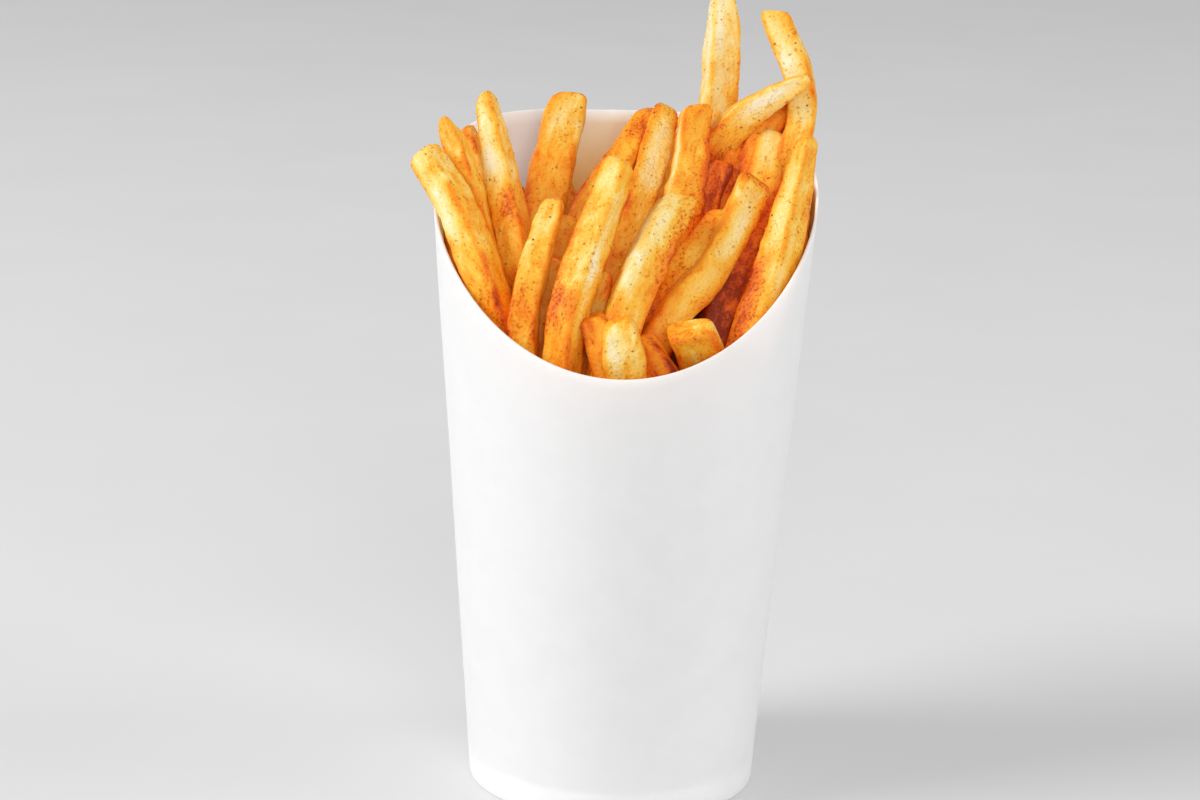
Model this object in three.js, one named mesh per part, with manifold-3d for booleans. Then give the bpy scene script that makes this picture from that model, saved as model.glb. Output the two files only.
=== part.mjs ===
// Seasoned french fries standing in a white paperboard scoop cup: a round, tapered cup on a flat base, its
// mouth cut low at the front and high at the back. Millimetres, +Z up, the low front of the mouth towards -Y.
// The origin is on the surface the cup stands on, under the middle of the whole.
import * as THREE from "three";
import { mergeVertices } from "three/addons/utils/BufferGeometryUtils.js";
import Module from "manifold-3d";

// Driving dimensions
const BASE_RADIUS = 32.2; // outside of the cup where it stands
const FLARE = 0.075; // radius gained for each millimetre of height
const FRONT_HEIGHT = 101.4; // lowest point of the mouth
const SIDE_HEIGHT = 134;
const BACK_HEIGHT = 146;
const SCOOP_POINT = 1; // how much sharper the cut turns at the front than at the back
const BOARD = 0.55; // thickness of the paperboard
const FOLD_HEIGHT = 6.7; // the wall is folded in and up under the base
const FOLD_LAYERS = 3; // boards that lie together in that fold
const LAP_WIDTH = 8; // overlap of the wall's seam, at the back
const CLEARANCE = 0.35; // between pieces that rest on each other
const CORE_FRONT = 86; // the heap's core fills the cup below the fries that show, and slopes up to the back
const CORE_BACK = 112;
const CORE_CLEARANCE = 0.6;
const CUP_AXIS = [2.2, -1.9]; // where the cup's own axis stands, from the middle of the whole

const WALL_SEGMENTS = 96;
const CORE_SEGMENTS = 48;
const BOARD_COLOUR = 0xf4f3f1;
const FRY_COLOUR = 0xf0a93c;

// Outside radius of the cup's cone at a height.
const wallRadius = (z) => BASE_RADIUS + FLARE * z;

// Height of the mouth at an angle from the front: three cosines through the front, side and back heights.
function rimHeight(angle) {
  const twice = (2 * SIDE_HEIGHT - FRONT_HEIGHT - BACK_HEIGHT) / 4;
  const once = (BACK_HEIGHT - FRONT_HEIGHT) / 2 + SCOOP_POINT;
  const mean = SIDE_HEIGHT - twice;
  return mean - once * Math.cos(angle) - twice * Math.cos(2 * angle) + SCOOP_POINT * Math.cos(3 * angle);
}

// Joins the corners that faces share, so that a surface is closed.
function weld(geometry) {
  geometry.deleteAttribute("normal");
  geometry.deleteAttribute("uv");
  const welded = mergeVertices(geometry, 1e-4);
  welded.computeVertexNormals();
  return welded;
}

// Wall: one board rolled into a cone, lapped at the back and folded in under the base. A lathe gives the
// closed band of faces, and each of its columns is then set to its own angle and mouth height.
function wallGeometry() {
  const lapHalf = LAP_WIDTH / 2 / wallRadius(BACK_HEIGHT / 2);
  const lapStep = 0.004; // radians over which the lap's free edge steps up
  const fromBack = [-lapHalf - lapStep, -lapHalf, 0, lapHalf, lapHalf + lapStep];
  const others = WALL_SEGMENTS - fromBack.length;
  const unlapped = 2 * (Math.PI - lapHalf - lapStep);
  for (let i = 1; i <= others; i += 1) {
    fromBack.push(lapHalf + lapStep + (unlapped * i) / (others + 1));
  }
  const foot = () => 0;
  const fold = () => FOLD_HEIGHT;
  const corners = [
    { inset: 0, height: foot },
    { inset: 0, height: rimHeight },
    { inset: BOARD, height: rimHeight },
    { inset: BOARD, height: fold },
    { inset: BOARD * FOLD_LAYERS, height: fold },
    { inset: BOARD * FOLD_LAYERS, height: foot },
    { inset: 0, height: foot },
  ];
  const profile = corners.map((corner, i) => new THREE.Vector2(BASE_RADIUS - corner.inset, i));
  const lathe = new THREE.LatheGeometry(profile, WALL_SEGMENTS);
  const position = lathe.attributes.position;
  for (let i = 0; i < position.count; i += 1) {
    const corner = corners[i % corners.length];
    const column = fromBack[Math.floor(i / corners.length) % WALL_SEGMENTS];
    const angle = column + Math.PI;
    const z = corner.height(angle);
    const inLap = Math.abs(column) < lapHalf + lapStep / 2;
    const lapped = inLap && corner.inset === 0 ? BOARD : 0;
    const r = wallRadius(z) - corner.inset + lapped;
    position.setXYZ(i, r * Math.sin(angle), -r * Math.cos(angle), z);
  }
  return weld(lathe);
}

// Base: a flat disc of the same board, held above the fold.
function baseGeometry() {
  const z = FOLD_HEIGHT + CLEARANCE;
  const r = wallRadius(z) - BOARD - CLEARANCE;
  const profile = [
    new THREE.Vector2(0, z),
    new THREE.Vector2(r, z),
    new THREE.Vector2(r, z + BOARD),
    new THREE.Vector2(0, z + BOARD),
  ];
  return weld(new THREE.LatheGeometry(profile, WALL_SEGMENTS).rotateX(Math.PI / 2));
}

// Core of the heap: a frustum that follows the cup's inside, with a sloping top.
function coreGeometry() {
  const core = new THREE.CylinderGeometry(1, 1, 1, CORE_SEGMENTS).rotateX(Math.PI / 2);
  const bottom = FOLD_HEIGHT + BOARD + 2 * CLEARANCE;
  const position = core.attributes.position;
  for (let i = 0; i < position.count; i += 1) {
    const x = position.getX(i);
    const y = position.getY(i);
    const top = (CORE_BACK + CORE_FRONT) / 2 + ((CORE_BACK - CORE_FRONT) / 2) * y;
    const z = position.getZ(i) > 0 ? top : bottom;
    const r = wallRadius(z) - BOARD - CORE_CLEARANCE;
    position.setXYZ(i, r * x, r * y, z);
  }
  return weld(core);
}

// A fry is a stick of potato cut square, with softened corners. Each row holds its width across the side
// that faces out, its depth, the direction that side looks to in degrees from the front towards the right,
// the share of its size left at the tip, and points from its foot to its tip, from the cup's axis.
const FRIES = [
  // standing along the front of the mouth, from left to right
  [8.4, 6.8, -36, 0.82, [-17, -21, 84], [-25.7, -22.3, 108], [-35.2, -16.5, 131], [-44, -9.9, 144]],
  [6.6, 6.4, -10, 0.7, [-20, -26, 84], [-21, -27, 107], [-19, -23, 121], [-15, -16, 135]],
  [7.0, 6.4, 0, 0.9, [-19, -28, 84], [-15, -15, 122]],
  [7.6, 7.2, -32, 0.86, [-13, -29, 84], [-12, -30, 108], [-9, -25, 121], [-1, -13, 143]],
  [6.6, 6.6, 0, 0.9, [5, -30.5, 82], [-1.6, -31.5, 98], [-6.4, -29.5, 112.8]],
  [7.0, 7.0, 0, 0.95, [-11, -29, 84], [-5.2, -19.5, 119.6]],
  [8.8, 7.4, 10, 0.92, [-6, -31, 84], [0, -28, 110], [7, -17, 127], [11.6, -10, 134.8]],
  [9.2, 7.0, 0, 0.8, [3.6, -31, 82], [1.4, -33, 100], [-0.7, -33, 112.6]],
  [7.4, 7.0, 0, 0.9, [17, -27, 82], [10.4, -31, 98.4], [3.4, -28.4, 108]],
  [10.2, 8.6, 0, 0.96, [20, -20, 86], [17.2, -26.5, 103.4], [14.4, -31, 111.2]],
  [7.9, 7.2, 4, 0.96, [-2, -30, 86], [9.8, -22, 110], [19.6, -12, 121], [28.6, -1, 138]],
  [7.6, 7.2, -20, 0.8, [-6, -28, 88], [8.6, -17.6, 113], [22, -1, 130]],
  [9.6, 7.0, 0, 0.9, [12, -24, 84], [19.8, -17.6, 105], [28, -4.8, 125], [31, 1, 134]],
  [8.6, 7.4, 52, 0.48, [21, -22, 86], [28.2, -19.4, 108], [34, -12.7, 125], [39.1, -4.6, 148.4]],
  // the next row, leaning back and out
  [5.4, 5.6, -15, 0.4, [-18, -22, 86], [-29, -14, 121], [-36, -8, 142], [-40, -3, 150]],
  [7.4, 7.0, -20, 0.58, [-16, -24, 86], [-22, -15, 119], [-26.8, -6, 137], [-31.6, 3, 155]],
  [6.5, 6.5, 0, 0.8, [-18, -14, 88], [-13, 3, 128]],
  [7.2, 6.2, -20, 0.6, [-21, -17, 88], [-9.7, 4, 125], [-0.5, 16, 140], [5.3, 26, 149]],
  [7.6, 6.8, 5, 0.78, [-9, -17, 88], [0.6, 3, 122], [5.4, 15, 139], [8.4, 26, 149.4]],
  [8.6, 7.0, 12, 0.8, [-4, -24, 86], [9.8, -4, 122], [13.4, 4.5, 134.8], [15.1, 13.5, 151.8]],
  [7.0, 6.6, 0, 0.9, [1, -18, 88], [20.6, 8, 139.5]],
  [7.0, 6.6, 0, 0.9, [9, -12, 90], [20.5, 6, 130], [26, 14.5, 143.5]],
  [8.2, 7.4, -10, 0.85, [19, -11, 90], [28.4, 2, 126], [30.8, 8, 138], [32.6, 12.5, 145.6]],
  [8.0, 6.6, 0, 0.8, [17, -5, 92], [29, 12, 142], [34.6, 16, 153]],
  // one across the others to the right, and the tall ones behind
  [7.8, 7.2, 0, 0.38, [8, 8, 96], [16, 13, 134], [25.1, 12.5, 148.8], [39.5, 8, 159.4]],
  [8.0, 7.4, 15, 0.35, [11, 6, 94], [19, 20, 143], [20.7, 27, 164], [20, 32, 179]],
  [7.2, 7.0, -5, 0.9, [29.2, 1, 92], [34.6, 7, 132], [38.4, 13, 154], [32, 20, 172]],
  // along the back of the mouth, from left to right, and one at its right side
  [6.0, 5.6, -15, 0.75, [-22, -5, 90], [-30, 6, 124], [-36.3, 14, 145.4]],
  [7.0, 6.4, -130, 0.8, [-18, 10, 95], [-28, 18, 122], [-32, 19, 136]],
  [7.0, 7.0, -150, 0.8, [-14, -1, 92], [-23, 15, 118], [-27, 23, 131]],
  [10.2, 7.0, 0, 0.74, [-25, -5, 90], [-18.8, 15, 126], [-15.6, 26, 142], [-13.4, 32, 151]],
  [7.4, 6.6, 180, 0.8, [-9, 16, 96], [-13, 29, 120], [-16, 34, 131]],
  [7.4, 7.0, 180, 0.8, [-4, 0, 92], [-6, 18, 116], [-7, 27, 126]],
  [7.0, 7.0, 170, 0.85, [1, 4, 94], [9, 24, 124], [13, 33, 142]],
  [7.4, 7.0, 150, 0.8, [11, 13, 96], [20, 25, 124], [24, 29, 138]],
  [7.2, 6.4, 88, 0.8, [27, -3, 95], [36, -1, 118], [38.4, 2.8, 137]],
  // short ones in the middle, one at the left side, and ones lying across the heap behind the standing ones
  [7.2, 7.0, 60, 0.85, [-7, -6, 90], [-4, 2, 121]],
  [7.0, 6.8, -40, 0.85, [6, -10, 90], [5, 3, 120]],
  [7.0, 7.0, 20, 0.85, [14, 1, 92], [12, 14, 125]],
  [6.6, 6.4, -78, 0.85, [-24, -9, 92], [-34.2, -10, 112], [-36.8, -6, 131]],
  [7.0, 7.0, 200, 0.85, [15, 22, 101], [3, 30, 112], [-7, 35, 121]],
  [7.2, 7.0, 160, 0.85, [-20, 30, 106], [-6, 22, 108], [12, 14, 104]],
  [7.2, 7.0, 190, 0.85, [26, 22, 103], [9, 20, 109], [-12, 24, 107]],
];

// Rings along a fry: how far from foot to tip, and how much of its section is there.
const FRY_RINGS = [
  { at: 0, share: 0.7 },
  { at: 0.05, share: 1 },
  { at: 0.3, share: 1 },
  { at: 0.6, share: 1 },
  { at: 0.88, share: 1 },
  { at: 0.98, share: 0.95 },
  { at: 1, share: 0.62 },
];
const FRY_SIDES = 8;
const FRY_SQUARENESS = 0.5; // power of the section's superellipse: 1 is round, 0 a sharp square
const TAPER_START = 0.6; // along the fry, where it starts to narrow towards the tip

function fryGeometry([wide, deep, facing, tip, ...points]) {
  const path = new THREE.CatmullRomCurve3(
    points.map((point) => new THREE.Vector3(...point)),
    false,
    "catmullrom",
    0.5,
  );
  const bands = FRY_RINGS.length - 1;
  const fry = new THREE.CylinderGeometry(1, 1, 1, FRY_SIDES, bands, false, Math.PI / FRY_SIDES);
  const upright = new THREE.Vector3(0, 0, 1);
  const looks = new THREE.Vector3(0, -1, 0).applyAxisAngle(upright, (facing * Math.PI) / 180);
  const soften = (value) => Math.sign(value) * Math.abs(value) ** FRY_SQUARENESS;
  const position = fry.attributes.position;
  for (let i = 0; i < position.count; i += 1) {
    const ring = FRY_RINGS[Math.round((position.getY(i) + 0.5) * bands)];
    const along = path.getTangent(ring.at);
    const outward = looks.clone().addScaledVector(along, -looks.dot(along)).normalize();
    const across = along.clone().cross(outward);
    const past = Math.max(0, (ring.at - TAPER_START) / (1 - TAPER_START));
    const size = ring.share * (1 - (1 - tip) * past ** 1.5);
    const point = path
      .getPoint(ring.at)
      .addScaledVector(across, (soften(position.getX(i)) * size * wide) / 2)
      .addScaledVector(outward, (soften(position.getZ(i)) * size * deep) / 2);
    position.setXYZ(i, point.x, point.y, point.z);
  }
  return weld(fry);
}

const wasm = await Module();
wasm.setup();

function toSolid(geometry) {
  const vertProperties = new Float32Array(geometry.attributes.position.array);
  const triVerts = new Uint32Array(geometry.index.array);
  return new wasm.Manifold(new wasm.Mesh({ numProp: 3, vertProperties, triVerts }));
}

// The heap is one body: its core with every fry joined to it. Only the largest shell is kept, which fills
// the small pockets that are shut in between fries.
function heapGeometry() {
  const joined = FRIES.map(fryGeometry).reduce(
    (heap, fry) => heap.add(toSolid(fry)),
    toSolid(coreGeometry()),
  );
  const heap = joined.decompose().reduce((kept, shell) => (shell.volume() > kept.volume() ? shell : kept));
  const { vertProperties, triVerts } = heap.getMesh();
  const geometry = new THREE.BufferGeometry();
  geometry.setAttribute("position", new THREE.BufferAttribute(vertProperties, 3));
  geometry.setIndex(new THREE.BufferAttribute(triVerts, 1));
  geometry.computeVertexNormals();
  return geometry;
}

const board = new THREE.MeshStandardMaterial({ color: BOARD_COLOUR, roughness: 0.75, metalness: 0 });
const potato = new THREE.MeshStandardMaterial({ color: FRY_COLOUR, roughness: 0.5, metalness: 0 });

function piece(name, geometry, material) {
  const mesh = new THREE.Mesh(geometry, material);
  mesh.name = name;
  return mesh;
}

const servedFries = new THREE.Group();
servedFries.position.set(...CUP_AXIS, 0);
servedFries.add(
  piece("cup_wall", wallGeometry(), board),
  piece("cup_base", baseGeometry(), board),
  piece("fries", heapGeometry(), potato),
);

export default servedFries;
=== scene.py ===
"""Seasoned french fries standing in a white paperboard scoop cup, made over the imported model, in metres."""

import math
import random

import bpy
import numpy as np
from mathutils import Matrix, Vector, noise


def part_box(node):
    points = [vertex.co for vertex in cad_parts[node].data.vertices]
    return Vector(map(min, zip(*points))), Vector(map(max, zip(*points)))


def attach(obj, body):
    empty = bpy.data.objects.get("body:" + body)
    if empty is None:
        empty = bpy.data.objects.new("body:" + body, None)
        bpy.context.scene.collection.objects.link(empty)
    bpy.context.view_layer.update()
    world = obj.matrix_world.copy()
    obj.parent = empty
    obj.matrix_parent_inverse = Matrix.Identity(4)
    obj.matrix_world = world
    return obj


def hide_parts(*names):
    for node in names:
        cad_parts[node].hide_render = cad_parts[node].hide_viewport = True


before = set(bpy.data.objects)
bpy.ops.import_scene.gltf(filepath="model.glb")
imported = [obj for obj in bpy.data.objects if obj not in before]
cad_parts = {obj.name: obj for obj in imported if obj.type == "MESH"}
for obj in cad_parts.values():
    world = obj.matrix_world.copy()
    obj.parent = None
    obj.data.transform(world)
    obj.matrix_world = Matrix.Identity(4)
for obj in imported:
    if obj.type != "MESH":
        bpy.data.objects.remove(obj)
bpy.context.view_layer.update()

# ---------------------------------------------------------------------------------------------------------
# Camera: a short telephoto, two thirds of a metre off and looking a little down into the mouth of the cup.
# It is tilted by hand, so the cup leans a little to the right in the picture.
LENS_MM = 90
FRAME_MM = 36
CAMERA_AIM = Vector((-0.0023, -0.002, 0.0872))
CAMERA_DISTANCE = 0.669
CAMERA_HEIGHT_ANGLE = math.radians(13.86)
CAMERA_SIDE_ANGLE = math.radians(0.72)
CAMERA_ROLL = math.radians(1.47)

towards_camera = Vector(
    (
        math.sin(CAMERA_SIDE_ANGLE) * math.cos(CAMERA_HEIGHT_ANGLE),
        -math.cos(CAMERA_SIDE_ANGLE) * math.cos(CAMERA_HEIGHT_ANGLE),
        math.sin(CAMERA_HEIGHT_ANGLE),
    )
)
camera = bpy.data.objects.new("camera", bpy.data.cameras.new("camera"))
camera.data.lens = LENS_MM
camera.data.sensor_width = FRAME_MM
camera.data.clip_start = 0.01
looking = (-towards_camera).to_track_quat("-Z", "Y").to_matrix().to_4x4()
place = Matrix.Translation(CAMERA_AIM + CAMERA_DISTANCE * towards_camera)
camera.matrix_world = place @ looking @ Matrix.Rotation(CAMERA_ROLL, 4, "Z")
bpy.context.scene.collection.objects.link(camera)
bpy.context.scene.camera = camera

# ---------------------------------------------------------------------------------------------------------
# The cup's base: a disc punched from white bleached paperboard and glued in, raised above the ground by
# the fold of the wall. It bellies a little where the weight of the fries rests on it.
MM = 0.001
BOARD = 0.55 * MM
BASE_BELLY = 0.12 * MM
BASE_EDGE = 0.12 * MM  # the punch rounds the cut edge this much
BASE_RINGS = 14
CUP_COLUMNS = 240

BOARD_WHITE = "F9F9F8"
BOARD_SHADE = "F6F6F5"
BOARD_CUT = "FDFAF3"
# The lining's cooler white is painted light: it cancels the orange light that the fries throw on the inside.
BOARD_LINING_PAINTED_COOL = "F4FAFF"
# Amber of frying oil on the lining, and painted orange light bounced from the fries.
BOARD_OIL_AND_BOUNCE = "FFCC80"
BOARD_IOR = 1.5
BOARD_ROUGHNESS = 0.58
BOARD_GLOW = 0.8  # a thin board lets some light through
BOARD_GLOW_DEPTH = 1.0 * MM
FIBRE_MM = 0.35  # wood fibres are finer than this, and drawn this coarse so that they show
CLOUD_MM = 9.0  # the uneven clouds that fibres settle in


def linear(hex_colour, alpha=1.0):
    """An sRGB hex colour as the linear values that a shader takes."""
    shares = [int(hex_colour[i : i + 2], 16) / 255 for i in (0, 2, 4)]
    return (*(c / 12.92 if c <= 0.04045 else ((c + 0.055) / 1.055) ** 2.4 for c in shares), alpha)


def put(material, kind, sockets=None, **settings):
    """Adds a node to a material. Values are set on its sockets, and outputs of other nodes are linked."""
    made = material.node_tree.nodes.new("ShaderNode" + kind)
    for name, value in settings.items():
        setattr(made, name, value)
    for key, value in (sockets or {}).items():
        if isinstance(value, bpy.types.NodeSocket):
            material.node_tree.links.new(value, made.inputs[key])
        else:
            made.inputs[key].default_value = value
    return made


def new_material(name):
    """An empty node material and its output node."""
    material = bpy.data.materials.new(name)
    material.use_nodes = True
    material.node_tree.nodes.clear()
    return material, put(material, "OutputMaterial")


def loft(rings, closed=False, first_point=None, last_point=None):
    """Points and faces of a surface through rings of points. It is closed by joining the last ring to the
    first, or by a fan of triangles to a point at either end."""
    rings = np.asarray(rings)
    count, around = rings.shape[:2]
    points = [rings.reshape(-1, 3)]
    this = np.arange(around)
    after = np.roll(this, -1)
    faces = []
    for k in range(count if closed else count - 1):
        low, high = k * around, (k + 1) % count * around
        faces += np.stack([low + this, low + after, high + after, high + this], axis=1).tolist()
    if first_point is not None:
        points.append([first_point])
        faces += [[count * around, int(b), int(a)] for a, b in zip(this, after)]
    if last_point is not None:
        tip = count * around + (first_point is not None)
        points.append([last_point])
        low = (count - 1) * around
        faces += [[tip, int(low + a), int(low + b)] for a, b in zip(this, after)]
    return np.concatenate(points), faces


def make_piece(name, points, faces, material, attributes=None):
    """A smooth-shaded mesh object, with its values per point for the material."""
    mesh = bpy.data.meshes.new(name)
    mesh.from_pydata(points.tolist(), [], faces)
    for label, values in (attributes or {}).items():
        values = np.asarray(values, np.float32)
        vector = values.ndim == 2
        layer = mesh.attributes.new(label, "FLOAT_VECTOR" if vector else "FLOAT", "POINT")
        layer.data.foreach_set("vector" if vector else "value", values.ravel())
    mesh.materials.append(material)
    mesh.shade_smooth()
    piece = bpy.data.objects.new(name, mesh)
    bpy.context.scene.collection.objects.link(piece)
    return piece


def bleached_paperboard():
    """Solid bleached paperboard, calendered smooth: white with the faintest clouds and a soft sheen. Its cut
    edge is warmer. Its lining is a cooler white, which is painted light against the orange light that the
    fries throw on it, and amber towards the fries, partly from frying grease and partly painted orange bounce
    light."""
    material, output = new_material("bleached_paperboard")
    place = put(material, "TexCoord").outputs["Object"]
    clouds = put(material, "TexNoise", {"Vector": place, "Scale": 1 / (CLOUD_MM * MM), "Detail": 3.0})
    fibres = put(material, "TexNoise", {"Vector": place, "Scale": 1 / (FIBRE_MM * MM), "Detail": 4.0})
    cut = put(material, "Attribute", attribute_name="cut").outputs["Fac"]
    lining = put(material, "Attribute", attribute_name="lining").outputs["Fac"]
    oil_and_bounce = put(material, "Attribute", attribute_name="oil_and_bounce").outputs["Fac"]
    clouded = put(
        material, "MapRange", {"Value": clouds.outputs["Fac"], "From Min": 0.35, "From Max": 0.65}
    )
    face = put(
        material,
        "Mix",
        {0: clouded.outputs[0], 6: linear(BOARD_SHADE), 7: linear(BOARD_WHITE)},
        data_type="RGBA",
    )
    colour = face.outputs[2]
    # Over the board's white go the lining's cooler white, which is painted light, the warmer cut edge, and
    # the amber of frying grease with painted bounce light from the fries.
    for share, over in ((lining, BOARD_LINING_PAINTED_COOL), (cut, BOARD_CUT), (oil_and_bounce, BOARD_OIL_AND_BOUNCE)):
        colour = put(material, "Mix", {0: share, 6: colour, 7: linear(over)}, data_type="RGBA").outputs[2]
    roughness = put(
        material,
        "MapRange",
        {
            "Value": fibres.outputs["Fac"],
            "To Min": BOARD_ROUGHNESS - 0.05,
            "To Max": BOARD_ROUGHNESS + 0.07,
        },
    )
    bump = put(
        material, "Bump", {"Height": fibres.outputs["Fac"], "Strength": 0.12, "Distance": 0.06 * MM}
    )
    shader = put(
        material,
        "BsdfPrincipled",
        {
            "Base Color": colour,
            "Roughness": roughness.outputs[0],
            "IOR": BOARD_IOR,
            "Normal": bump.outputs[0],
            "Subsurface Weight": BOARD_GLOW,
            "Subsurface Radius": (1.0, 1.0, 1.0),
            "Subsurface Scale": BOARD_GLOW_DEPTH,
        },
    )
    material.node_tree.links.new(shader.outputs[0], output.inputs["Surface"])
    return material


paperboard = bleached_paperboard()
base_low, base_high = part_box("cup_base")
cup_x, cup_y = (base_low.x + base_high.x) / 2, (base_low.y + base_high.y) / 2
base_radius = (base_high.x - base_low.x) / 2
around = np.linspace(0, 2 * math.pi, CUP_COLUMNS, endpoint=False)


def base_ring(radius, z):
    """A ring of the base: flat at the rim and sunk towards the middle."""
    belly = BASE_BELLY * (1 - (radius / base_radius) ** 2)
    x = cup_x + radius * np.sin(around)
    y = cup_y - radius * np.cos(around)
    return np.stack([x, y, np.full_like(x, z - belly)], axis=1)


inner_radii = np.linspace(0.03, 1, BASE_RINGS)[:-1] * base_radius
below = [base_ring(r, base_low.z + BASE_BELLY) for r in inner_radii]
above = [base_ring(r, base_high.z) for r in inner_radii[::-1]]
edge = [
    base_ring(base_radius - BASE_EDGE, base_low.z),
    base_ring(base_radius, base_low.z + BASE_EDGE),
    base_ring(base_radius, base_high.z - BASE_EDGE),
    base_ring(base_radius - BASE_EDGE, base_high.z),
]
points, faces = loft(
    below + edge + above,
    first_point=(cup_x, cup_y, base_low.z),
    last_point=(cup_x, cup_y, base_high.z - BASE_BELLY),
)
clean = np.zeros(len(points))
cup_floor = make_piece("cup_floor", points, faces, paperboard, {"cut": clean, "lining": clean, "oil_and_bounce": clean})
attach(cup_floor, "root")
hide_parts("cup_base")

# ---------------------------------------------------------------------------------------------------------
# The cup's wall: one sheet of the same board, rolled into a taper, lapped and glued down the back, and folded
# in and up under the base, where a knurled wheel pressed the layers together. Its mouth is a raw cut edge.
BASE_RADIUS = 32.2 * MM
FLARE = 0.075
FRONT_HEIGHT = 101.4 * MM
SIDE_HEIGHT = 134 * MM
BACK_HEIGHT = 146 * MM
SCOOP_POINT = 1 * MM
FOLD_HEIGHT = 6.7 * MM
FOLD_LAYERS = 3
LAP_HALF = 4 * MM
LAP_RAMP = 5 * MM  # where the upper board comes down off the lower one
LAP_STEP = 0.15 * MM
LIP = 0.4 * MM  # rounding of the fold where the cup stands
CUT_ROUND = 0.05 * MM
KNURL_PITCH = 1.6 * MM
KNURL_DEPTH = 0.14 * MM
WALL_ROWS = 46
WAVER = 0.18 * MM  # how far the board strays from a true cone
WAVER_LENGTH = 45 * MM
WAVER_FULL = 40 * MM  # height where it strays this far, as the base holds the foot round
# The amber on the lining, partly a film of frying oil and partly painted orange light bounced from the fries:
# how far it reaches to either side of the middle of the back, its strength at the mouth and the depth where
# it is full. Past a clean stretch it goes on round the sides and the front.
OIL_AND_BOUNCE_SIDE = 13 * MM
OIL_AND_BOUNCE_FADE = 6 * MM
OIL_AND_BOUNCE_AT_RIM = 0.5
OIL_AND_BOUNCE_FULL = 24 * MM
OIL_AND_BOUNCE_CLEAN = 40 * MM
OIL_AND_BOUNCE_ROUND = 0.85


def smooth(low, high, value):
    """0 below low, 1 above high, and an even rise between."""
    share = np.clip((value - low) / (high - low), 0, 1)
    return share * share * (3 - 2 * share)


def wall_radius(z):
    """Outside radius of the cup's cone."""
    return BASE_RADIUS + FLARE * z


def rim_height(angle):
    """Height of the mouth at an angle from the front."""
    twice = (2 * SIDE_HEIGHT - FRONT_HEIGHT - BACK_HEIGHT) / 4
    once = (BACK_HEIGHT - FRONT_HEIGHT) / 2 + SCOOP_POINT
    mean = SIDE_HEIGHT - twice
    return mean - once * np.cos(angle) - twice * np.cos(2 * angle) + SCOOP_POINT * np.cos(3 * angle)


# Columns are set by how far they are round from the middle of the back, closer together at the lap.
back_radius = wall_radius(BACK_HEIGHT / 2)
lap_marks = np.array([-LAP_HALF - LAP_STEP, -LAP_HALF, LAP_HALF, LAP_HALF + LAP_STEP])
lap_marks = np.concatenate([np.linspace(-LAP_HALF - LAP_RAMP, -LAP_HALF - LAP_STEP, 7)[:-1], lap_marks])
free = 2 * math.pi * back_radius - (lap_marks[-1] - lap_marks[0])
others = CUP_COLUMNS - len(lap_marks)
from_back = np.concatenate([lap_marks, lap_marks[-1] + free * np.arange(1, others + 1) / (others + 1)])
angle = math.pi + from_back / back_radius
mouth = rim_height(angle)
past_lap = np.where(from_back > math.pi * back_radius, from_back - 2 * math.pi * back_radius, from_back)
ramp = smooth(-LAP_HALF - LAP_RAMP, -LAP_HALF, past_lap)
lap_outside = np.where((past_lap >= -LAP_HALF) & (past_lap <= LAP_HALF), 1, ramp * (past_lap < 0))
lap_inside = np.where(past_lap < -LAP_HALF, ramp, 0)


def wall_ring(inset, z, lapped):
    """A ring of the wall: inset is how far in from the cone's outside it runs, and lapped the share of a
    board that the seam lifts it by."""
    radius = wall_radius(z) - inset + lapped * BOARD
    x = radius * np.sin(angle)
    y = -radius * np.cos(angle)
    z = np.broadcast_to(z, x.shape)
    wander = [noise.noise(Vector(p) / WAVER_LENGTH) for p in zip(x, y, z)]
    radius = radius + WAVER * smooth(0, WAVER_FULL, z) * np.array(wander)
    x = cup_x + radius * np.sin(angle)
    y = cup_y - radius * np.cos(angle)
    return np.stack([x, y, z], axis=1)


fold_inset = BOARD * FOLD_LAYERS
quarter = np.linspace(0, math.pi / 2, 5)
knurl = KNURL_DEPTH * (0.5 + 0.5 * np.cos(2 * math.pi * from_back / KNURL_PITCH))
rings = []
for turn in quarter[::-1]:  # under the fold, inside to outside
    rings.append(wall_ring(fold_inset - LIP * (1 - math.cos(turn)), LIP * (1 - math.sin(turn)), lap_inside))
rings = rings[::-1]
for share in np.linspace(0.08, 0.92, 9):  # up the inside of the fold
    pressed = knurl * smooth(0.1, 0.3, share) * smooth(0.95, 0.75, share)
    rings.append(wall_ring(fold_inset + pressed, LIP + (FOLD_HEIGHT - LIP) * share, lap_inside))
rings.append(wall_ring(fold_inset, FOLD_HEIGHT - CUT_ROUND, lap_inside))
rings.append(wall_ring(fold_inset - CUT_ROUND, FOLD_HEIGHT, lap_inside))
first_inside = len(rings)
rings.append(wall_ring(BOARD, FOLD_HEIGHT, lap_inside))
for share in np.linspace(0, 1, WALL_ROWS)[1:-1]:  # up the inside of the cup
    rings.append(wall_ring(BOARD, FOLD_HEIGHT + (mouth - FOLD_HEIGHT) * share, lap_inside))
first_cut = len(rings)
rings.append(wall_ring(BOARD, mouth - CUT_ROUND, lap_inside))
rings.append(wall_ring(BOARD - CUT_ROUND, mouth, lap_inside))
rings.append(wall_ring(CUT_ROUND, mouth, lap_outside))
rings.append(wall_ring(0, mouth - CUT_ROUND, lap_outside))
last_cut = len(rings)
for share in np.linspace(1, 0, WALL_ROWS)[1:-1]:  # down the outside
    rings.append(wall_ring(0, LIP + (mouth - LIP) * share, lap_outside))
for turn in quarter:
    rings.append(wall_ring(LIP * (1 - math.cos(turn)), LIP * (1 - math.sin(turn)), lap_outside))

points, faces = loft(rings, closed=True)
faces = [face[::-1] for face in faces]  # the rings go up the inside first, so the faces are turned out
cut = np.zeros((len(rings), CUP_COLUMNS))
cut[first_cut:last_cut] = 1
height_left = mouth - np.array(rings)[..., 2]
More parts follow.
